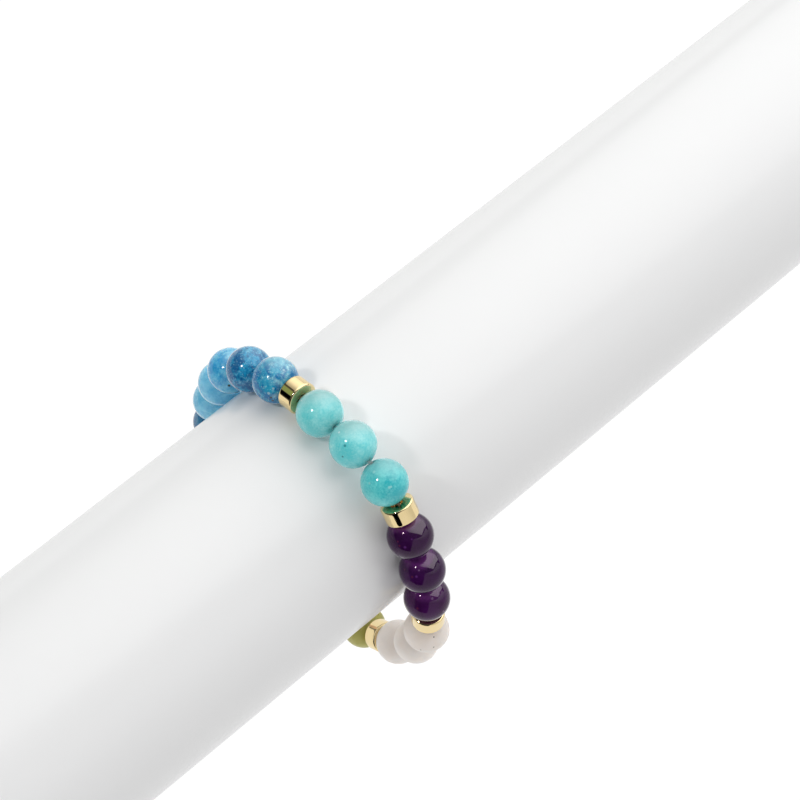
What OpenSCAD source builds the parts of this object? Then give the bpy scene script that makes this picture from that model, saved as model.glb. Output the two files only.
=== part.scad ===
// Gemstone bead bracelet hanging on a plain white display cylinder.
// Lengths are in millimetres and angles in degrees.
// The cylinder runs along X from the centre of its near end, and Z is up.
// The string of beads is a closed loop that hugs the top of the cylinder,
// and its slack hangs below it.

/* [Beads] */

// diameter of each round stone bead
bead_diameter = 8; // [4:0.5:14]
// beads in each colour group: teal, purple, white, olive, pink, blue
group_counts = [3, 3, 3, 3, 3, 6];
// diameter of the hole drilled through each bead
bead_bore = 1.2; // [0.8:0.1:2]
// clearance between neighbours on the string
string_gap = 0.06; // [0.02:0.01:0.3]

/* [Gold spacers] */

// outside diameter of the drum
spacer_diameter = 5.8; // [3:0.1:8]
// length of the drum along the string
spacer_length = 3.1; // [1:0.1:6]
// radius of the rounding on both rims
spacer_rim = 0.35; // [0.1:0.05:0.8]
// diameter of the hole through the drum
spacer_bore = 2.2; // [1.6:0.1:3]
// share of the cord's bow that a drum follows outside the line between its two beads
spacer_rise = 0.75; // [0:0.05:1]

/* [Elastic cord] */

// diameter of the cord
cord_diameter = 0.5; // [0.4:0.1:1]

/* [Display cylinder] */

// outside diameter of the cylinder
cylinder_diameter = 44.8; // [30:0.2:70]
// length of the cylinder
cylinder_length = 235; // [120:5:400]
// rounding of the edge at both ends
cylinder_edge = 1; // [0.2:0.2:4]

/* [How the string hangs] */

// distance of the string from the near end of the cylinder
string_place = 85; // [30:5:200]
// turn of the first teal bead from the top of the cylinder
first_bead_turn = -2; // [-10:0.5:10]
// clearance between the top beads and the cylinder
cylinder_gap = 0.12; // [0.05:0.01:0.5]
// turn from the top where the string starts to leave the cylinder
slack_start = 81.3; // [60:0.1:110]
// how fast the slack opens below that turn, less is faster
slack_power = 0.735; // [0.5:0.005:1.5]
// height of the place where the teal beads ride up off the cylinder
lift_height = 2.35; // [0:0.05:4]
// turn of that place from the top
lift_turn = 26.8; // [0:0.1:60]
// spread of that place along the turn
lift_spread = 17.6; // [5:0.1:40]
// lean of the loop along the cylinder
loop_lean = 4.25; // [-10:0.05:10]
// swing of the loop about the upright line
loop_swing = 1.3; // [-10:0.1:10]

/* [Hidden] */

bead_r = bead_diameter / 2;
loop_r = cylinder_diameter / 2 + cylinder_gap + bead_r;
bead_total = group_end(5);
bead_facets = 96;
drum_facets = 96;
cord_sides = 8;
bead_side_depth = 0.25;
drum_side_depth = -0.03;
blue = [0.24, 0.50, 0.68];
teal = [0.46, 0.80, 0.80];
purple = [0.17, 0.07, 0.25];
white = [0.80, 0.76, 0.72];
olive = [0.50, 0.51, 0.18];
pink = [0.88, 0.62, 0.63];
gold = [0.90, 0.72, 0.36];
clear = [0.90, 0.91, 0.92];
gloss_white = [0.93, 0.93, 0.93];

// Order on the string.

// number of beads up to the end of group g
function group_end(g) = g < 0 ? 0 : group_counts[g] + group_end(g - 1);

// true when bead k is the last of its group, so that a drum follows it
function drum_follows(k) =
  len([for (g = [0:5]) if (group_end(g) % bead_total == (k + 1) % bead_total) g]) > 0;

// distance from the middle of bead k to the middle of the next one
function pitch(k) =
  bead_diameter + string_gap + (drum_follows(k) ? spacer_length + string_gap : 0);

// Shape of the loop in the plane across the cylinder, with s the slack below.

// turn from the top, counted both ways
function half_turn(a) = a > 180 ? a - 360 : a;

// share of the way from the place where the slack starts to the bottom
function slack_share(a) =
  max(0, (abs(half_turn(a)) - slack_start) / (180 - slack_start));

// distance of the line of beads from the axis of the cylinder at turn a
function orbit(a, s) =
  loop_r
  + s * (1 - cos(180 * pow(slack_share(a), slack_power))) / 2
  + lift_height * exp(-pow((half_turn(a) - lift_turn) / lift_spread, 2));

// point of the line of beads at turn a, as [y, z]
function spot(a, s) = orbit(a, s) * [-sin(a), cos(a)];

// turn at distance d along the loop from turn a, found by repeated scaling
function step_on(a, d, s, b, i) =
  i == 0 ? b : step_on(a, d, s, a + (b - a) * d / norm(spot(b, s) - spot(a, s)), i - 1);

// turns of all the beads from bead k on, and last the turn that comes after them
function march(a, k, s) =
  k == bead_total ? [a]
  : concat([a], march(step_on(a, pitch(k), s, a + 2 * pitch(k), 12), k + 1, s));

// slack that makes the loop close on its first bead, found by halving
function close_loop(low, high, i) =
  i == 0 ? (low + high) / 2
  : march(first_bead_turn, 0, (low + high) / 2)[bead_total] > first_bead_turn + 360
    ? close_loop((low + high) / 2, high, i - 1)
    : close_loop(low, (low + high) / 2, i - 1);

slack = close_loop(2, 20, 32);
turns = march(first_bead_turn, 0, slack);
centres = [for (k = [0:bead_total - 1]) spot(turns[k], slack)];

// Lines along the string.

function unit(v) = v / norm(v);

// middle of bead k, with k counted round the loop
function centre(k) = centres[(k + bead_total) % bead_total];

// direction from bead k to the next bead
function link(k) = unit(centre(k + 1) - centre(k));

// direction of the hole through bead k, halfway between its two links
function hole(k) = unit(link(k) + link(k - 1));

// a direction turned outwards by a right angle
function outward(v) = [v[1], -v[0]];

// how far inside the mouths of bead k the cord bends, on the side before (-1) or after (1)
function bend_depth(k, side) = drum_follows(side < 0 ? k - 1 : k) ? drum_side_depth : bead_side_depth;

// points where the cord bends, near both mouths of each hole, in order round the loop
cord_points = [for (k = [0:bead_total - 1]) for (side = [-1, 1])
  centre(k) + side * (bead_r - bend_depth(k, side)) * hole(k)];
cord_total = len(cord_points);

function cord_point(i) = cord_points[(i + cord_total) % cord_total];

// direction of the cord after point i, and halfway between its two stretches there
function cord_link(i) = unit(cord_point(i + 1) - cord_point(i));
function cord_middle(i) = unit(cord_link(i) + cord_link(i - 1));

// bead before the drum number n
function bead_before(n) = group_end(n - 1) - 1;

// Placing.

// the plane of the loop, leaned and swung on the cylinder
module in_loop_plane()
  translate([string_place, 0, 0])
    rotate([0, loop_lean, loop_swing])
      children();

// children with their Z axis along direction v at point p of the loop plane
module along(p, v)
  in_loop_plane()
    translate([0, p[0], p[1]])
      rotate([atan2(-v[0], v[1]), 0, 0])
        children();

// Pieces.

// a polished round bead drilled through its middle
module bead(k)
  along(centre(k), hole(k))
    difference() {
      sphere(r = bead_r, $fn = bead_facets);
      cylinder(h = bead_diameter + 2, r = bead_bore / 2, center = true, $fn = 32);
    }

// a drum with rounded rims and flat ends, bored through
module drum(n) {
  k = bead_before(n);
  r = spacer_diameter / 2;
  h = spacer_length / 2;
  corner = [for (i = [0:6]) spacer_rim * [sin(15 * i), cos(15 * i)]];
  upper = [for (c = corner) [r - spacer_rim + c[0], h - spacer_rim + c[1]]];
  lower = [for (i = [6:-1:0]) [upper[i][0], -upper[i][1]]];
  between = (centre(k) + centre(k + 1)) / 2;
  bow = (cord_point(2 * k + 1) + cord_point(2 * k + 2)) / 2 - between;
  middle = between + spacer_rise * (bow * outward(link(k))) * outward(link(k));
  along(middle, link(k))
    rotate_extrude($fn = drum_facets)
      polygon(concat([[spacer_bore / 2, -h], [spacer_bore / 2, h]], upper, lower));
}

module teal_bead_1() color(teal) bead(0);
module teal_bead_2() color(teal) bead(1);
module teal_bead_3() color(teal) bead(2);

module purple_bead_1() color(purple) bead(group_end(0));
module purple_bead_2() color(purple) bead(group_end(0) + 1);
module purple_bead_3() color(purple) bead(group_end(0) + 2);

module white_bead_1() color(white) bead(group_end(1));
module white_bead_2() color(white) bead(group_end(1) + 1);
module white_bead_3() color(white) bead(group_end(1) + 2);

module olive_bead_1() color(olive) bead(group_end(2));
module olive_bead_2() color(olive) bead(group_end(2) + 1);
module olive_bead_3() color(olive) bead(group_end(2) + 2);

module pink_bead_1() color(pink) bead(group_end(3));
module pink_bead_2() color(pink) bead(group_end(3) + 1);
module pink_bead_3() color(pink) bead(group_end(3) + 2);

module blue_bead_1() color(blue) bead(group_end(4));
module blue_bead_2() color(blue) bead(group_end(4) + 1);
module blue_bead_3() color(blue) bead(group_end(4) + 2);
module blue_bead_4() color(blue) bead(group_end(4) + 3);
module blue_bead_5() color(blue) bead(group_end(4) + 4);
module blue_bead_6() color(blue) bead(group_end(4) + 5);

module gold_spacer_1() color(gold) drum(1);
module gold_spacer_2() color(gold) drum(2);
module gold_spacer_3() color(gold) drum(3);
module gold_spacer_4() color(gold) drum(4);
module gold_spacer_5() color(gold) drum(5);
module gold_spacer_6() color(gold) drum(6);

// one closed cord through every hole, with a mitred corner at each point
module elastic_cord() {
  skin = [for (i = [0:cord_total - 1])
    let (
      p = cord_point(i),
      side = outward(cord_middle(i)),
      stretch = 1 / (cord_middle(i) * cord_link(i))
    )
    for (t = [0:cord_sides - 1])
      let (
        turn = 360 * (t + 0.5) / cord_sides,
        q = p + cord_diameter / 2 * sin(turn) * stretch * side
      )
      [cord_diameter / 2 * cos(turn), q[0], q[1]]];
  faces = [for (i = [0:cord_total - 1]) for (t = [0:cord_sides - 1]) for (half = [0, 1])
    let (
      near = i * cord_sides,
      far = (i + 1) % cord_total * cord_sides,
      next = (t + 1) % cord_sides
    )
    half == 0
    ? [near + t, far + t, far + next]
    : [near + t, far + next, near + next]];
  color(clear)
    in_loop_plane()
      polyhedron(points = skin, faces = faces, convexity = 6);
}

// the glossy white cylinder that the bracelet hangs on
module display_cylinder() {
  r = cylinder_diameter / 2;
  e = cylinder_edge;
  color(gloss_white)
    rotate([0, 90, 0])
      rotate_extrude($fn = 180)
        polygon([
          [0, 0], [r - e, 0], [r - 0.3 * e, 0.3 * e], [r, e],
          [r, cylinder_length - e], [r - 0.3 * e, cylinder_length - 0.3 * e],
          [r - e, cylinder_length], [0, cylinder_length]
        ]);
}

teal_bead_1();
teal_bead_2();
teal_bead_3();
purple_bead_1();
purple_bead_2();
purple_bead_3();
white_bead_1();
white_bead_2();
white_bead_3();
olive_bead_1();
olive_bead_2();
olive_bead_3();
pink_bead_1();
pink_bead_2();
pink_bead_3();
blue_bead_1();
blue_bead_2();
blue_bead_3();
blue_bead_4();
blue_bead_5();
blue_bead_6();
gold_spacer_1();
gold_spacer_2();
gold_spacer_3();
gold_spacer_4();
gold_spacer_5();
gold_spacer_6();
elastic_cord();
display_cylinder();
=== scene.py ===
import bpy
import numpy as np
from mathutils import Matrix


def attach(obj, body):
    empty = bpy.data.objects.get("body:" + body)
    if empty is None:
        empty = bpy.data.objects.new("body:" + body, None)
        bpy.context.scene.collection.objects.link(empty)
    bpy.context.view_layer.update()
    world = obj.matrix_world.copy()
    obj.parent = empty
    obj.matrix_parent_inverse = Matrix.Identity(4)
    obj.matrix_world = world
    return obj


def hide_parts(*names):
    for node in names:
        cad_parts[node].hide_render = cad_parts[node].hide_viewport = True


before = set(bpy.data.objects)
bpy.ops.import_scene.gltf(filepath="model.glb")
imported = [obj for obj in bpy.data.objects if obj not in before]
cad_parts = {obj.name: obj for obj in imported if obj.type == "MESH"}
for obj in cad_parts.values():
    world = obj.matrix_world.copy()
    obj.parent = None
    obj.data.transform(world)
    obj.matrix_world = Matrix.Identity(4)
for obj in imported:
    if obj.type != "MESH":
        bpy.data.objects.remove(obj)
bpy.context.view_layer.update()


# ---------------------------------------------------------------- display cylinder
# The stand is one plain wooden cylinder, turned, its two end edges rounded, and sprayed
# with glossy white lacquer. It lies level along X and everything else hangs round it.

CYLINDER_RADIUS = 0.0224
CYLINDER_LENGTH = 0.235
CYLINDER_EDGE = 0.001
CYLINDER_SIDES, CYLINDER_RINGS, CYLINDER_EDGE_STEPS = 192, 48, 13
FACE_RINGS = (0.05, 0.5, 0.95)
LACQUER_SHADES = (0.825, 0.825, 0.828), (0.845, 0.845, 0.845)
# The colour of the two end faces: painted shade, darker than the lacquer.
PAINTED_END_SHADE = (0.76, 0.76, 0.76)


def skin(name, grid, closed=False, uv_turns=(1, 1)):
    """A smooth mesh over a grid of points, rows by columns. Each row is a ring, so its last
    column joins its first. The last row joins the first one where closed is true, as on a
    drilled bead, and otherwise the two end rings are each filled with one flat face. The
    UV map runs 0 to uv_turns[0] round the ring and 0 to uv_turns[1] along the rows."""
    rows, columns = grid.shape[:2]
    row, column = np.meshgrid(np.arange(rows if closed else rows - 1), np.arange(columns), indexing="ij")
    next_row, next_column = (row + 1) % rows, (column + 1) % columns
    corners = [(row, column), (row, next_column), (next_row, next_column), (next_row, column)]
    quads = np.stack([r * columns + c for r, c in corners], axis=-1).reshape(-1, 4)
    faces = quads.tolist()
    if not closed:
        ring = np.arange(columns)
        faces += [ring[::-1].tolist(), ((rows - 1) * columns + ring).tolist()]
    mesh = bpy.data.meshes.new(name)
    mesh.from_pydata(grid.reshape(-1, 3).tolist(), [], faces)
    quad_corners = [(0, 0), (1, 0), (1, 1), (0, 1)]
    uv = np.stack([np.stack([(column + c) / columns * uv_turns[0], (row + r) / rows * uv_turns[1]], -1)
                   for c, r in quad_corners], axis=2).reshape(-1, 2)
    layer = mesh.uv_layers.new(name="turned")
    uv = np.concatenate([uv, np.zeros((len(layer.data) - len(uv), 2))])
    layer.data.foreach_set("uv", uv.astype(np.float32).ravel())
    mesh.polygons.foreach_set("use_smooth", np.ones(len(mesh.polygons), bool))
    mesh.update()
    piece = bpy.data.objects.new(name, mesh)
    bpy.context.scene.collection.objects.link(piece)
    return piece


def turned(profile, sides):
    """A profile of (radius, height) points turned about Z: each point becomes a ring of
    radius times (cos, sin) of the angle round Z, at its height."""
    angle = np.arange(sides) * 2 * np.pi / sides
    ring = np.stack([np.cos(angle), np.sin(angle), np.zeros(sides)], axis=-1)
    return profile[:, None, :1] * ring + profile[:, None, 1:] * np.array([0, 0, 1.0])


def rounded(centre, radius, start, stop, count):
    """Points of an arc: centre plus radius times (cos, sin) from the start to the stop
    angle, in degrees."""
    angle = np.radians(np.linspace(start, stop, count))
    return np.array(centre) + radius * np.stack([np.cos(angle), np.sin(angle)], axis=-1)


def cylinder_outline():
    """The outline of the cylinder, as radius and distance from its near end: out over the
    near face, a quarter turn at its edge, the wall, and the same at the far end."""
    edge_start = CYLINDER_RADIUS - CYLINDER_EDGE
    wall_end = CYLINDER_LENGTH - CYLINDER_EDGE
    near_face = np.array([[edge_start * share, 0] for share in FACE_RINGS])
    near_edge = rounded((edge_start, CYLINDER_EDGE), CYLINDER_EDGE, -90, 0, CYLINDER_EDGE_STEPS)
    wall = np.stack([np.full(CYLINDER_RINGS, CYLINDER_RADIUS),
                     np.linspace(CYLINDER_EDGE, wall_end, CYLINDER_RINGS + 2)[1:-1]], axis=-1)
    far_edge = rounded((edge_start, wall_end), CYLINDER_EDGE, 0, 90, CYLINDER_EDGE_STEPS)
    return np.concatenate([near_face, near_edge, wall, far_edge, near_face[::-1] + (0, CYLINDER_LENGTH)])


class Wire:
    """A shader socket that writes its own nodes. Sums and products of wires add Math nodes,
    and node() adds any other node and returns the output that is asked for."""

    def __init__(self, tree, socket=None):
        self.tree, self.socket = tree, socket

    def node(self, kind, settings=None, inputs=None, output=0):
        made = self.tree.nodes.new("ShaderNode" + kind)
        for setting, value in (settings or {}).items():
            setattr(made, setting, value)
        for name, value in (inputs or {}).items():
            if isinstance(value, Wire):
                self.tree.links.new(value.socket, made.inputs[name])
            else:
                made.inputs[name].default_value = value
        return Wire(self.tree, made.outputs[output])

    def maths(self, operation, first, second):
        return self.node("Math", {"operation": operation}, {0: first, 1: second})

    def __add__(self, other):
        return self.maths("ADD", self, other)

    def __sub__(self, other):
        return self.maths("SUBTRACT", self, other)

    def __rsub__(self, other):
        return self.maths("SUBTRACT", other, self)

    def __mul__(self, other):
        return self.maths("MULTIPLY", self, other)

    __radd__, __rmul__ = __add__, __mul__

    def step(self, low, high):
        """0 below low, 1 above high and a smooth rise between."""
        return self.node("MapRange", {"interpolation_type": "SMOOTHSTEP"},
                         {"Value": self, "From Min": low, "From Max": high})

    def blend(self, first, second):
        """The first colour where this wire is 0 and the second where it is 1."""
        first, second = ((*colour, 1) if isinstance(colour, tuple) else colour for colour in (first, second))
        return self.node("Mix", {"data_type": "RGBA"}, {0: self, 6: first, 7: second}, 2)

    def clouds(self, size, seed=0.0, detail=3.0, roughness=0.55, distortion=0.0):
        """Noise whose patches are about size metres across, on this vector."""
        return self.node("TexNoise", {"noise_dimensions": "4D"},
                         {"Vector": self, "W": seed, "Scale": 1 / size, "Detail": detail,
                          "Roughness": roughness, "Distortion": distortion})

    def along(self, centre, direction, reach):
        """How far this place lies from the centre along a direction, as a share of reach."""
        from_centre = self.node("VectorMath", {"operation": "SUBTRACT"}, {0: self, 1: tuple(centre)})
        scaled = tuple(np.array(direction) / reach)
        return self.node("VectorMath", {"operation": "DOT_PRODUCT"}, {0: from_centre, 1: scaled}, "Value")

    def relief(self, strength, depth):
        """A bump of this height, depth metres from its lowest to its highest."""
        return self.node("Bump", None, {"Height": self, "Strength": strength, "Distance": depth})


RIM_STARTS, RIM_FULL = 0.68, 0.84


def material(name, vary, rim=0.0, **constants):
    """A Principled material. vary(place, around) is given the Object and UV coordinates and
    returns the sockets that change over the surface, and constants go on the shader. A rim
    is the share of extra gloss that shows where the surface turns away from the eye."""
    made = bpy.data.materials.new(name)
    made.use_nodes = True
    tree = made.node_tree
    shader = tree.nodes["Principled BSDF"]
    for socket, value in constants.items():
        shader.inputs[socket.replace("_", " ")].default_value = value
    start = Wire(tree)
    varied = vary(*(start.node("TexCoord", output=output) for output in ("Object", "UV")))
    if rim:
        edge_on = start.node("LayerWeight", None, {"Blend": 0.5}, "Facing")
        varied["Coat Weight"] = edge_on.step(RIM_STARTS, RIM_FULL) * rim + varied.get("Coat Weight", 0)
    for socket, wire in varied.items():
        tree.links.new(wire.socket, shader.inputs[socket])
    return made


def white_lacquer(place, around):
    """Even white, faintly clouded. The two end faces are painted darker, as painted shade that tones down the
    light on them, and are left rougher.
    """
    haze_and_sheen = place.clouds(0.012, 1.0, detail=4)
    marks = place.clouds(0.0009, 2.0, detail=2)
    middle = CYLINDER_LENGTH / 2
    from_middle = place.along((middle, 0, 0), (1, 0, 0), middle)
    # The end faces get painted shade, and more roughness.
    painted_end_shade_mask = (from_middle * from_middle).step(0.990, 0.999)
    return {"Base Color": painted_end_shade_mask.blend(haze_and_sheen.blend(*LACQUER_SHADES), PAINTED_END_SHADE),
            "Roughness": 0.14 + 0.05 * haze_and_sheen + 0.03 * marks + 0.2 * painted_end_shade_mask,
            "Normal": place.clouds(0.006, 3.0).relief(0.03, 0.0002)}


along_x = turned(cylinder_outline(), CYLINDER_SIDES)[..., [2, 0, 1]]
cylinder = skin("display_cylinder_polished", along_x)
cylinder.data.materials.append(material("white lacquer", white_lacquer, IOR=1.49, Specular_IOR_Level=0.3))
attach(cylinder, "root")
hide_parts("display_cylinder")


# ---------------------------------------------------------------- path of the string
# The string leans a little across the cylinder: it rests on the top and the sides and
# hangs clear underneath. The beads are strung one after another from the first, each a
# pitch from the last, with a drum after each group of stones.

BEAD_RADIUS = 0.004
BEAD_PITCH = 0.00806
DRUM_ROOM = 0.00316
GROUPS = {"teal": 3, "purple": 3, "white": 3, "olive": 3, "pink": 3, "blue": 6}
CYLINDER_GAP = 0.00012
FIRST_TURN, GUESSED_TURN = -2, 34
SLACK_START, SLACK_POWER = 81.3, 0.735
LEAST_SLACK, MOST_SLACK = 0.002, 0.020
LIFT_HEIGHT, LIFT_TURN, LIFT_SPREAD = 0.00235, 26.8, 17.6
LOOP_PLACE, LOOP_LEAN, LOOP_SWING = 0.085, 4.25, 1.3
CORD_INSET, CORD_OUTSET = 0.00025, 0.00003


def spot(turn, slack):
    """A bead centre's (y, z) at a turn in degrees from the top: a circle resting on the
    cylinder, let out by the slack underneath and lifted by a low hump on one side."""
    half = turn - 360 if turn > 180 else turn
    share = max(0.0, (abs(half) - SLACK_START) / (180 - SLACK_START))
    hang = slack * (1 - np.cos(np.pi * share ** SLACK_POWER)) / 2
    lift = LIFT_HEIGHT * np.exp(-((half - LIFT_TURN) / LIFT_SPREAD) ** 2)
    reach = CYLINDER_RADIUS + CYLINDER_GAP + BEAD_RADIUS + hang + lift
    return reach * np.array([-np.sin(np.radians(turn)), np.cos(np.radians(turn))])


def strung(slack):
    """The turns of all the beads and of the one that would follow the last: each next turn
    is moved until its spot is one pitch from the spot before."""
    turns = [float(FIRST_TURN)]
    for k in range(len(pitches)):
        turn = turns[-1] + GUESSED_TURN
        for _ in range(12):
            away = np.linalg.norm(spot(turn, slack) - spot(turns[-1], slack))
            turn = turns[-1] + (turn - turns[-1]) * pitches[k] / away
        turns.append(turn)
    return turns


stones = [stone for stone, count in GROUPS.items() for _ in range(count)]
drum_follows = [k for k in range(len(stones)) if stones[k] != stones[(k + 1) % len(stones)]]
pitches = [BEAD_PITCH + (DRUM_ROOM if k in drum_follows else 0) for k in range(len(stones))]
slack_low, slack_high = LEAST_SLACK, MOST_SLACK
for _ in range(32):
    slack = (slack_low + slack_high) / 2
    if strung(slack)[-1] > FIRST_TURN + 360:
        slack_low = slack
    else:
        slack_high = slack
centres = np.array([spot(turn, slack) for turn in strung(slack)[:-1]])


def unit(vectors):
    return vectors / np.linalg.norm(vectors, axis=-1, keepdims=True)


links = unit(np.roll(centres, -1, axis=0) - centres)
holes = unit(links + np.roll(links, 1, axis=0))
beside_drum = np.array([[(k - 1) % len(stones) in drum_follows, k in drum_follows]
                        for k in range(len(stones))])
depths = BEAD_RADIUS - np.where(beside_drum, -CORD_OUTSET, CORD_INSET)
cord_bends = np.stack([centres - depths[:, :1] * holes,
                       centres + depths[:, 1:] * holes], axis=1).reshape(-1, 2)
lean = Matrix.Rotation(np.radians(LOOP_SWING), 3, "Z") @ Matrix.Rotation(np.radians(LOOP_LEAN), 3, "Y")
loop_axes = np.array(lean)


def placed(points):
    """Points of the string's own (y, z) plane, or of a bead's (x, y, z), in the frame."""
    if points.shape[-1] == 2:
        points = np.concatenate([np.zeros((*points.shape[:-1], 1)), points], axis=-1)
    return points @ loop_axes.T + np.array([LOOP_PLACE, 0, 0])


def threaded(shape, centre, hole):
    """A shape turned about Z, put at a centre on the string with its Z along the hole."""
    side = np.array([1.0, 0, 0])
    forward = np.array([0, *hole])
    across = np.cross(forward, side)
    axes = np.stack([side, across, forward])
    return placed(shape @ axes + np.array([0, *centre]))


# ---------------------------------------------------------------- elastic cord
# One strand of clear stretch cord passes through every hole. It is drawn tight, so it
# runs straight through each bead, bends between them, and its knot is inside a drum.

CORD_RADIUS = 0.00025
CORD_SIDES = 16
CORD_STEPS = 10
STRAND_TURNS = (4, 400)
CORD_SHADES = (0.82, 0.82, 0.81), (0.90, 0.90, 0.89)


def drawn_loop(points, directions, steps):
    """A closed curve through the points: between two of them it is the cubic that leaves the
    one and reaches the other along their own directions, each times the distance between
    them. It is straight where both directions point along that distance."""
    start, end = points[:, None], np.roll(points, -1, axis=0)[:, None]
    distance = np.linalg.norm(end - start, axis=-1, keepdims=True)
    from_slope, to_slope = directions[:, None] * distance, np.roll(directions, -1, axis=0)[:, None] * distance
    t = (np.arange(steps) / steps)[None, :, None]
    curve = (start * (2 * t**3 - 3 * t**2 + 1) + from_slope * (t**3 - 2 * t**2 + t)
             + end * (3 * t**2 - 2 * t**3) + to_slope * (t**3 - t**2))
    return curve.reshape(-1, points.shape[-1])


def tube(path, radius, sides):
    """A round tube along a closed path in the string's plane: each ring is the radius times
    cos of the angle along the path's outward direction, less sin of it along the plane's
    own normal, so that its faces look outwards."""
    forward = unit(np.roll(path, -1, axis=0) - np.roll(path, 1, axis=0))
    outward = np.stack([forward[:, 1], -forward[:, 0]], axis=-1)
    angle = np.arange(sides) * 2 * np.pi / sides
    flat = path[:, None] + radius * np.cos(angle)[None, :, None] * outward[:, None]
    side = np.broadcast_to(-radius * np.sin(angle), flat.shape[:2])[..., None]
    return placed(np.concatenate([side, flat], axis=-1))


def stretch_cord(place, around):
    """Clear rubber, faintly ribbed by its slanting strands."""
    strands = around.node("TexWave", {"bands_direction": "DIAGONAL"},
                          {"Vector": around, "Scale": 1.0, "Distortion": 0.6})
    return {"Base Color": strands.blend(*CORD_SHADES),
            "Roughness": 0.15 + 0.1 * strands,
            "Normal": strands.relief(0.3, 0.00003)}


cord_path = drawn_loop(cord_bends, np.repeat(holes, 2, axis=0), CORD_STEPS)
cord = skin("elastic_cord_strand", tube(cord_path, CORD_RADIUS, CORD_SIDES),
            closed=True, uv_turns=STRAND_TURNS)
cord.data.materials.append(material("clear stretch cord", stretch_cord, IOR=1.45, Transmission_Weight=0.85))
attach(cord, "root")
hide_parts("elastic_cord")


# ---------------------------------------------------------------- teal beads
# Three beads of cloudy teal amazonite. Like every stone on the string, each is ground to a
# ball, drilled through, and tumbled until it shines and the lips of its hole are soft.

BORE_RADIUS = 0.0006
LIP_RADIUS = 0.00012
BEAD_SIDES, BALL_STEPS, LIP_STEPS, BORE_RINGS = 96, 66, 7, 9
# The side of a bead that gets a painted pale sheen, and the teal of that sheen: painted light standing for
# the softbox's reflection and glow.
PAINTED_SHEEN_SIDE = unit(np.array([0.59, 0.66, 0.47]))
TEAL_PAINTED_SHEEN = (0.34, 0.53, 0.52)
SNOW, MIST = (0.62, 0.80, 0.80), (0.30, 0.66, 0.66)
CLOUDY_POLISH = {"rim": 0.8, "IOR": 1.52, "Transmission_Weight": 0.10,
                 "Subsurface_Weight": 1.0, "Subsurface_Radius": (0.7, 1.0, 1.0), "Subsurface_Scale": 0.004,
                 "Coat_IOR": 4.0, "Coat_Roughness": 0.03}


def drilled_ball():
    """The outline of a drilled ball, turned about its hole: the ball's arc from lip to lip,
    each lip an arc that touches the ball and the bore, then the bore's wall back."""
    lip_out = BORE_RADIUS + LIP_RADIUS
    lip_up = np.sqrt((BEAD_RADIUS - LIP_RADIUS) ** 2 - lip_out**2)
    meets = np.degrees(np.arctan2(lip_up, lip_out))
    outside = rounded((0, 0), BEAD_RADIUS, -meets, meets, BALL_STEPS)
    upper_lip = rounded((lip_out, lip_up), LIP_RADIUS, meets, 180, LIP_STEPS)[1:]
    wall = np.stack([np.full(BORE_RINGS, BORE_RADIUS),
                     np.linspace(lip_up, -lip_up, BORE_RINGS + 2)[1:-1]], axis=-1)
    lower_lip = rounded((lip_out, -lip_up), LIP_RADIUS, 180, 360 - meets, LIP_STEPS)[:-1]
    return np.concatenate([outside, upper_lip, wall, lower_lip])


ball = turned(drilled_ball(), BEAD_SIDES)
middles, bores = placed(centres), placed(holes) - placed(np.zeros(2))


def string_beads(stone, cut, looks, polish, first=0):
    """The beads of one stone from the first on: each is the drilled ball at its own centre
    on the string, cut from the stone with one of the looks, and all have one polish."""
    for n, look in enumerate(looks, first):
        k = stones.index(stone) + n
        node = f"{stone}_bead_{n + 1}"
        bead = skin(node + "_stone", threaded(ball, centres[k], holes[k]), closed=True)
        bead.data.materials.append(material(node.replace("_", " "), cut(k, *look), **polish))
        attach(bead, "root")
        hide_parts(node)


def specks(colour, place, centre, spots):
    """The colour with small inclusions: each is a direction from the bead's centre, a size
    in metres and its own colour, and fades out at its edge."""
    for direction, size, tint in spots:
        at = centre + BEAD_RADIUS * unit(np.array(direction))
        far = place.node("VectorMath", {"operation": "DISTANCE"}, {0: place, 1: tuple(at)}, "Value")
        colour = (1 - far.step(size * 0.5, size)).blend(colour, tint)
    return colour


def amazonite(k, seed, deep, pale, haze_and_sheen, spots=()):
    """Teal stone: soft clouding between two greens, with finer streaks in it, and a pale sheen
    painted on one side that stands for the softbox's reflection and glow."""
    def vary(place, around):
        veil = place.clouds(0.0046, seed, detail=4, roughness=0.5, distortion=0.5)
        streaks = place.clouds(0.0009, seed + 1, detail=3, roughness=0.6, distortion=1.0)
        grain = place.clouds(0.00034, seed + 2, detail=2, roughness=0.6)
        colour = (veil.step(0.32, 0.68) * 0.7 + (streaks - 0.5) * 1.1 + (grain - 0.5) * 1.6).blend(deep, pale)
        # A pale sheen painted on this side: painted reflection and glow of the softbox.
        painted_sheen = place.along(middles[k], PAINTED_SHEEN_SIDE, BEAD_RADIUS).step(0.0, 0.95)
        colour = (painted_sheen * haze_and_sheen).blend(colour, TEAL_PAINTED_SHEEN)
        return {"Base Color": specks(colour, place, middles[k], spots),
                "Roughness": 0.09 + 0.04 * streaks,
                "Normal": streaks.relief(0.02, 0.00002)}
    return vary


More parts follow.
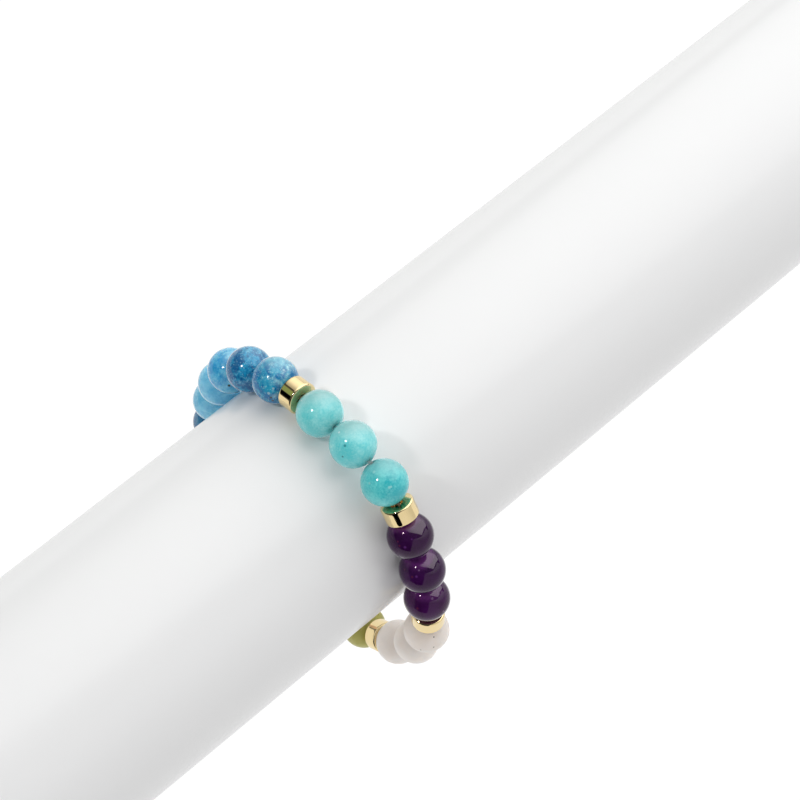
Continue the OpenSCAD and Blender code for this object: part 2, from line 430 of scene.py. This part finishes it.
# Each look is a seed for the clouding, the deep and the pale green, the strength of the
# painted sheen, and the inclusions.
string_beads("teal", amazonite, [
    (1.3, (0.165, 0.66, 0.68), (0.42, 0.82, 0.82), 0.8,
     [((-0.36, 0.69, 0.63), 0.00022, SNOW)]),
    (4.1, (0.165, 0.67, 0.70), (0.44, 0.85, 0.85), 0.8,
     [((-0.33, 0.46, 0.83), 0.00024, SNOW), ((-0.55, -0.15, 0.82), 0.00030, (0.07, 0.36, 0.39)),
      ((-0.83, -0.32, 0.46), 0.00022, (0.06, 0.26, 0.28))]),
    (7.7, (0.036, 0.475, 0.525), (0.205, 0.735, 0.735), 0.55,
     [((-0.25, -0.58, 0.78), 0.00030, MIST), ((-0.18, -0.60, 0.78), 0.00024, MIST),
      ((-0.29, 0.31, 0.91), 0.00035, MIST), ((-0.70, 0.13, 0.70), 0.00028, MIST)]),
], CLOUDY_POLISH)


# ---------------------------------------------------------------- purple beads
# Three beads of clear dark amethyst, nearly black in the middle, with small flecks in it.
# They are polished to the highest gloss on the string, and a brighter glow is painted at
# one end of the hole, standing for light that enters there.

# The colour of the painted glow at one end of the hole.
AMETHYST_PAINTED_GLOW = (0.15, 0.028, 0.19)
VIOLET, ROSE, LILAC = (0.10, 0.025, 0.15), (0.09, 0.014, 0.052), (0.18, 0.09, 0.21)
TOP_SIDE = unit(np.array([0.24, -0.20, 0.95]))
TOP_GLOSS = 0.085
CLEAR_POLISH = {"rim": 0.85, "IOR": 1.54, "Specular_IOR_Level": 0.2, "Specular_Tint": (1, 0.80, 0.86, 1),
                "Transmission_Weight": 0.2, "Coat_IOR": 6.0, "Coat_Roughness": 0.02}


def amethyst(k, seed, deep, pale, spots):
    """Purple stone: zones between two dark purples, a painted glow at one end of the hole that
    stands for light entering there, and a few flecks inside. Its top is buffed to the highest gloss."""
    def vary(place, around):
        zones = place.clouds(0.0030, seed, detail=3, distortion=0.4)
        body = zones.step(0.3, 0.7).blend(deep, pale)
        # A brighter glow painted at one end of the hole, standing for light that enters there.
        painted_glow = (place.along(middles[k], -bores[k], BEAD_RADIUS) + (zones - 0.5) * 0.25).step(0.66, 0.92)
        return {"Base Color": specks((painted_glow * 0.85).blend(body, AMETHYST_PAINTED_GLOW), place, middles[k], spots),
                "Roughness": 0.008 + 0.012 * place.clouds(0.0008, seed + 1),
                "Coat Weight": place.along(middles[k], TOP_SIDE, BEAD_RADIUS).step(0.80, 0.93) * TOP_GLOSS}
    return vary


# Each look is a seed for the zones, the two purples, and the flecks.
string_beads("purple", amethyst, [
    (2.0, (0.025, 0.003, 0.038), (0.040, 0.006, 0.060),
     [((-0.69, -0.44, 0.58), 0.00030, VIOLET), ((-0.32, -0.44, 0.84), 0.00018, VIOLET),
      ((-0.76, -0.08, 0.65), 0.00022, ROSE), ((-0.80, -0.23, 0.55), 0.00025, ROSE)]),
    (5.0, (0.026, 0.003, 0.042), (0.042, 0.005, 0.066),
     [((-0.39, -0.22, 0.89), 0.00020, LILAC), ((-0.61, -0.31, 0.73), 0.00030, VIOLET),
      ((-0.73, -0.18, 0.66), 0.00028, ROSE), ((-0.73, 0.29, 0.62), 0.00020, ROSE),
      ((-0.27, 0.12, 0.96), 0.00022, VIOLET)]),
    (8.0, (0.036, 0.004, 0.051), (0.054, 0.007, 0.079),
     [((-0.12, -0.45, 0.88), 0.00030, LILAC), ((-0.79, -0.27, 0.55), 0.00030, ROSE),
      ((0.05, -0.98, 0.19), 0.00024, LILAC)]),
], CLEAR_POLISH)


# ---------------------------------------------------------------- white, olive and pink beads
# Three beads each of white, olive and pink stone, all nearly even and waxy, with a soft
# polish. The first white one has a few dark pin pricks, and its colours are painted darker
# than the other two as painted shade.

WHITE_STONE = (0.79, 0.71, 0.66), (0.845, 0.765, 0.72)
# The first white bead's shades: the white stone painted darker, as painted shade.
PAINTED_SHADE_WHITE_STONE = (0.70, 0.63, 0.585), (0.75, 0.68, 0.64)
OLIVE_STONE = (0.33, 0.315, 0.072), (0.45, 0.435, 0.165)
PINK_STONE = (0.80, 0.61, 0.56), (0.86, 0.69, 0.63)
DARK = (0.04, 0.055, 0.04)
PIN_PRICK = 0.00016
MILKY_POLISH = {"IOR": 1.5, "Specular_IOR_Level": 0.2, "Subsurface_Weight": 1.0,
                "Subsurface_Radius": (1.0, 0.9, 0.8), "Subsurface_Scale": 0.008}


def waxy_stone(k, seed, shades, spots=()):
    """Even stone: a faint cloud between its two shades, and a fine waxy grain."""
    def vary(place, around):
        veil = place.clouds(0.0036, seed, detail=4, distortion=0.6)
        grain = place.clouds(0.0005, seed + 1, detail=2)
        colour = (veil.step(0.3, 0.7) * 0.75 + (grain - 0.5) * 0.3).blend(*shades)
        return {"Base Color": specks(colour, place, middles[k], spots),
                "Roughness": 0.26 + 0.10 * grain,
                "Normal": grain.relief(0.04, 0.00002)}
    return vary


pricks = [((-0.84, -0.55, 0.03), PIN_PRICK, DARK), ((-0.20, -0.68, 0.70), PIN_PRICK, DARK),
          ((-0.39, -0.89, 0.24), PIN_PRICK, DARK)]
string_beads("white", waxy_stone,
             [(1.0, PAINTED_SHADE_WHITE_STONE, pricks), (2.0, WHITE_STONE), (3.0, WHITE_STONE)], MILKY_POLISH)
string_beads("olive", waxy_stone, [(seed, OLIVE_STONE) for seed in (4.0, 5.0, 6.0)], MILKY_POLISH)
string_beads("pink", waxy_stone, [(seed, PINK_STONE) for seed in (7.0, 8.0, 9.0)], MILKY_POLISH)


# ---------------------------------------------------------------- blue beads
# Six beads of blue stone, from a calm sky blue at the back to a deep mottled blue beside
# the teal ones. Each has its own tones, because no two are cut from one piece.

# The side of a blue bead that is painted darker: painted shade.
PAINTED_SHADE_SIDE = unit(np.array([-0.74, 0.67, 0]))
ICE = (0.30, 0.50, 0.60)
CALM_POLISH = {"rim": 1.0, "IOR": 1.52, "Subsurface_Weight": 1.0, "Subsurface_Radius": (0.8, 1.0, 1.0),
               "Subsurface_Scale": 0.005, "Coat_IOR": 5.0, "Coat_Roughness": 0.03}
MOTTLED_POLISH = {"rim": 1.0, "IOR": 1.52, "Subsurface_Weight": 0.4, "Subsurface_Radius": (0.5, 0.9, 1.0),
                  "Subsurface_Scale": 0.0015, "Coat_IOR": 5.0, "Coat_Roughness": 0.03}


def blue_stone(k, seed, deep, middle, pale, cloud_and_sheen, fleck_and_shade, spots=()):
    """Blue stone: patches of a deep and a middle blue, pale clouding at a larger size, and
    fine flecks of both, more or fewer of them from bead to bead. A pale sheen painted on one
    side stands for the softbox's reflection, and painted shade darkens another side."""
    def vary(place, around):
        patches = place.clouds(0.0017, seed, detail=5, roughness=0.66, distortion=0.6)
        mottle = place.clouds(0.00062, seed + 1, detail=3, roughness=0.65)
        veil = place.clouds(0.0040, seed + 2, detail=5, roughness=0.6, distortion=0.7)
        grit = place.clouds(0.00026, seed + 3, detail=1)
        # Painted shade darkens one side and thins the pale clouding there.
        shade = place.along(middles[k], PAINTED_SHADE_SIDE, BEAD_RADIUS).step(0.0, 0.9) * fleck_and_shade
        colour = (patches.step(0.40, 0.60) + (mottle - 0.5) * (fleck_and_shade * 3.6) - shade * 0.6).blend(deep, middle)
        # A pale sheen painted on one side: painted reflection of the softbox.
        painted_sheen = place.along(middles[k], PAINTED_SHEEN_SIDE, BEAD_RADIUS).step(0.15, 0.95)
        colour = ((veil.step(0.48, 0.72) + painted_sheen * 0.65) * cloud_and_sheen * (0.2 + mottle * 1.3) * (1 - shade)
                  + mottle.step(0.56, 0.68) * (fleck_and_shade * 0.4)).blend(colour, pale)
        colour = (grit.step(0.60, 0.68) * (fleck_and_shade * 0.55)).blend(colour, pale)
        return {"Base Color": specks(colour, place, middles[k], spots),
                "Roughness": 0.10 + 0.06 * mottle,
                "Normal": mottle.relief(0.05, 0.00002)}
    return vary


# Each look is a seed, the deep, the middle and the pale blue, the share of clouding and of
# painted sheen, the share of flecks and the depth of the painted shade, and the inclusions.
string_beads("blue", blue_stone, [
    (3.0, (0.025, 0.14, 0.28), (0.065, 0.22, 0.36), (0.17, 0.34, 0.48), 0.3, 0.2),
    (9.0, (0.145, 0.465, 0.67), (0.265, 0.59, 0.77), (0.42, 0.67, 0.79), 0.7, 0.35),
    (15.0, (0.125, 0.465, 0.70), (0.23, 0.59, 0.80), (0.375, 0.65, 0.80), 0.4, 0.3),
    (21.0, (0.03, 0.3, 0.57), (0.12, 0.49, 0.71), (0.4, 0.68, 0.79), 0.6, 0.5,
     [((-0.63, -0.69, 0.36), 0.00034, DARK)]),
], CALM_POLISH)
string_beads("blue", blue_stone, [
    (27.0, (0.001, 0.110, 0.295), (0.012, 0.325, 0.565), (0.33, 0.60, 0.71), 0.5, 0.8),
    (33.0, (0.002, 0.155, 0.38), (0.03, 0.36, 0.55), (0.48, 0.75, 0.77), 0.75, 0.75,
     [((-0.75, -0.61, 0.25), 0.00028, DARK), ((-0.73, -0.68, 0.06), 0.00028, DARK),
      ((-0.75, -0.48, 0.45), 0.00034, ICE), ((-0.53, -0.53, 0.66), 0.00026, ICE),
      ((0.27, -0.28, 0.92), 0.00030, ICE)]),
], MOTTLED_POLISH, first=4)


# ---------------------------------------------------------------- gold drums
# Six short tubes of polished gold-plated brass, turned with rounded rims. One follows
# each group of stones and rides on the cord where the string bends.

DRUM_RADIUS = 0.0029
DRUM_BORE = 0.0011
DRUM_HALF = 0.00155
DRUM_RIM = 0.00035
DRUM_MOUTH = 0.00014
DRUM_RISE = 0.75
DRUM_SIDES, RIM_STEPS, MOUTH_STEPS, BARREL_RINGS = 128, 13, 7, 7
GOLD_SHADES = (0.86, 0.68, 0.355), (0.90, 0.73, 0.41)


def drum_outline():
    """The outline of a drum: its barrel, a quarter turn at each rim, and the flat ends and
    the bore, whose mouths are broken by a smaller quarter turn."""
    rim = rounded((DRUM_RADIUS - DRUM_RIM, DRUM_HALF - DRUM_RIM), DRUM_RIM, 0, 90, RIM_STEPS)
    mouth = rounded((DRUM_BORE + DRUM_MOUTH, DRUM_HALF - DRUM_MOUTH), DRUM_MOUTH, 90, 180, MOUTH_STEPS)
    upper = np.concatenate([rim, mouth])
    barrel = np.stack([np.full(BARREL_RINGS, DRUM_RADIUS),
                       np.linspace(-1, 1, BARREL_RINGS + 2)[1:-1] * (DRUM_HALF - DRUM_RIM)], axis=-1)
    return np.concatenate([barrel, upper, upper[::-1] * (1, -1)])


def polished_gold(place, around):
    """Gold plate with faintly worn patches, and buffing marks that run round it."""
    wear = place.clouds(0.0016, 5.0, detail=3)
    buffing = around.clouds(0.05, 6.0, detail=3)
    return {"Base Color": wear.blend(*GOLD_SHADES),
            "Roughness": 0.03 + 0.05 * wear.step(0.45, 0.8) + 0.02 * buffing,
            "Normal": wear.relief(0.04, 0.00003)}


gold = material("polished gold", polished_gold, Metallic=1.0)
drum = turned(drum_outline(), DRUM_SIDES)
for n, k in enumerate(drum_follows):
    following = (k + 1) % len(stones)
    halfway = (centres[k] + centres[following]) / 2
    bow = (cord_bends[2 * k + 1] + cord_bends[2 * following]) / 2 - halfway
    outward = np.array([links[k][1], -links[k][0]])
    middle = halfway + DRUM_RISE * (bow @ outward) * outward
    piece = skin(f"gold_spacer_{n + 1}_polished", threaded(drum, middle, links[k]), closed=True)
    piece.data.materials.append(gold)
    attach(piece, "root")
    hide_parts(f"gold_spacer_{n + 1}")


# ---------------------------------------------------------------- studio
# A white table far below, one large softbox overhead and to the right, a dimmer reflector
# in front, two wide fill lamps on the left and above, a small bright lamp behind to the
# left, and a dim room round them.

RING = np.array([LOOP_PLACE, 0, 0])
TABLE_DEPTH = 0.30
TABLE_EDGE, TABLE_HALF, TABLE_TURN = 1.12, 6.0, 35
TABLE_SHADES = (0.02, 0.02, 0.02), (0.03, 0.03, 0.03)
TABLE_AS_LAMP, TABLE_TO_EYE, TABLE_STRENGTH = (0.88, 0.88, 0.88), (1, 1, 1), 1.01
PANEL_DISTANCE = 2.0
SOFTBOX_CORNERS = [(57, 304), (66, 335), (88, 352), (92, 45), (56, 93), (37, 128), (11, 235)]
REFLECTOR_CORNERS = [(45, 245), (59, 296), (75, 340), (112, 335), (118, 225)]
FILL_LAMPS = [(99, 183, 36), (20, 170, 13)]
FILL_DISTANCE, FILL_SIZE = 2.5, 4.0
SMALL_LAMP_SIDE = (-0.512, 0.252, 0.821)
SMALL_LAMP_STRENGTH, SMALL_LAMP_ANGLE = 0.65, 7
ROOM_LIGHT, GREEN_WALL_LIGHT, GREEN_WALL = 0.08, 0.28, (0.72, 1.0, 0.5)


def toward(polar, turn):
    """The direction that is polar degrees from straight up, on the side that is turn
    degrees from X towards Y."""
    polar, turn = np.radians(polar), np.radians(turn)
    return np.array([np.sin(polar) * np.cos(turn), np.sin(polar) * np.sin(turn), np.cos(polar)])


def sheet_of(name, corners, finish):
    """One flat or nearly flat face through the corners, which stands in the studio."""
    mesh = bpy.data.meshes.new(name)
    mesh.from_pydata(np.array(corners).tolist(), [], [list(range(len(corners)))])
    mesh.materials.append(finish)
    sheet = bpy.data.objects.new(name, mesh)
    bpy.context.scene.collection.objects.link(sheet)
    return sheet


def glow(name, dim, bright, hot, strength):
    """Lit cloth: brightest where it is seen in the hot direction from the bracelet."""
    def vary(place, around):
        from_ring = place.node("VectorMath", {"operation": "SUBTRACT"}, {0: place, 1: tuple(RING)})
        sight = place.node("VectorMath", {"operation": "NORMALIZE"}, {0: from_ring})
        return {"Emission Color": sight.along((0, 0, 0), hot, 1.0).step(0.3, 0.95).blend(dim, bright)}
    return material(name, vary, Base_Color=(0, 0, 0, 1), Roughness=1.0, Emission_Strength=strength)


def lit_table(place, around):
    """A pale table lit from below, bare white to the eye and a little less bright as a lamp."""
    seen = place.node("LightPath", output="Is Camera Ray")
    return {"Base Color": place.clouds(0.4, 1.0).blend(*TABLE_SHADES),
            "Emission Color": seen.blend(TABLE_AS_LAMP, TABLE_TO_EYE)}


def facing(away, distance=0.0):
    """Where a lamp stands that shines at the bracelet from a direction: its Z points away
    along it, and its X is level."""
    level = unit(np.cross([0, 0, 1.0], away))
    turn = Matrix(np.stack([level, np.cross(away, level), away], axis=1).tolist()).to_4x4()
    return Matrix.Translation((RING + distance * away).tolist()) @ turn


table_axes = np.array([toward(90, TABLE_TURN), toward(90, TABLE_TURN + 90)])
table_corners = np.array([[-TABLE_EDGE, -TABLE_HALF], [TABLE_HALF, -TABLE_HALF],
                          [TABLE_HALF, TABLE_HALF], [-TABLE_EDGE, TABLE_HALF]])
sheet_of("white_table", RING - [0, 0, TABLE_DEPTH] + table_corners @ table_axes,
         material("white table", lit_table, Roughness=1.0, Emission_Strength=TABLE_STRENGTH))
softbox = sheet_of("softbox", RING + PANEL_DISTANCE * np.array([toward(*c) for c in SOFTBOX_CORNERS]),
                   glow("softbox cloth", (0.23, 0.23, 0.23), (1, 1, 1), toward(50, 0), 1.9))
reflector = sheet_of("reflector", RING + PANEL_DISTANCE * np.array([toward(*c) for c in REFLECTOR_CORNERS]),
                     glow("reflector cloth", (0.8, 0.8, 0.8), (1, 1, 1), toward(90, 238), 0.85))
softbox.visible_camera = reflector.visible_camera = False

world = bpy.data.worlds.new("studio")
bpy.context.scene.world = world
world.use_nodes = True
room = world.node_tree
sight = Wire(room).node("TexCoord", output="Generated")
dark_side = sight.along((0, 0, 0), toward(80, 210), 1.0).step(0.84, 0.94)
back_door = sight.along((0, 0, 0), toward(80, 142), 1.0).step(0.975, 0.985)
green_wall = sight.along((0, 0, 0), toward(62, 124), 1.0).step(0.965, 0.985)
light = (ROOM_LIGHT + GREEN_WALL_LIGHT * green_wall) * (1 - dark_side) * (1 - back_door)
seen = sight.node("LightPath", output="Is Camera Ray")
background = room.nodes["Background"]
room.links.new((green_wall * (1 - seen)).blend((1, 1, 1), GREEN_WALL).socket, background.inputs["Color"])
room.links.new((light * (1 - seen) + seen).socket, background.inputs["Strength"])

for n, (polar, turn, watts) in enumerate(FILL_LAMPS):
    fill_data = bpy.data.lights.new(f"fill_lamp_{n + 1}", "AREA")
    fill_data.size, fill_data.energy = FILL_SIZE, watts
    fill = bpy.data.objects.new(f"fill_lamp_{n + 1}", fill_data)
    fill.visible_glossy = False
    fill.matrix_world = facing(toward(polar, turn), FILL_DISTANCE)
    bpy.context.scene.collection.objects.link(fill)

lamp_data = bpy.data.lights.new("small_lamp", "SUN")
lamp_data.energy, lamp_data.angle = SMALL_LAMP_STRENGTH, np.radians(SMALL_LAMP_ANGLE)
lamp = bpy.data.objects.new("small_lamp", lamp_data)
lamp.matrix_world = facing(unit(np.array(SMALL_LAMP_SIDE)))
bpy.context.scene.collection.objects.link(lamp)


# ---------------------------------------------------------------- camera
# It looks steeply down on the bracelet from the front left through a long lens, turned so
# that the cylinder rises to the right.

CAMERA_PLACE = (-0.019225, -0.137002, 0.360684)
CAMERA_RIGHT, CAMERA_DOWN = (0.7441, -0.6680, 0.0), (-0.5910, -0.6583, -0.4663)
CAMERA_LENS, CAMERA_SENSOR = 103.4, 36
CAMERA_NEAR, CAMERA_FAR = 0.01, 50

camera_data = bpy.data.cameras.new("camera")
camera_data.lens, camera_data.sensor_width = CAMERA_LENS, CAMERA_SENSOR
camera_data.clip_start, camera_data.clip_end = CAMERA_NEAR, CAMERA_FAR
camera = bpy.data.objects.new("camera", camera_data)
right, up = unit(np.array(CAMERA_RIGHT)), -unit(np.array(CAMERA_DOWN))
pose = Matrix(np.stack([right, up, np.cross(right, up)], axis=1).tolist()).to_4x4()
pose.translation = CAMERA_PLACE
camera.matrix_world = pose
bpy.context.scene.collection.objects.link(camera)
bpy.context.scene.camera = camera
bpy.context.scene.view_settings.view_transform = "Standard"
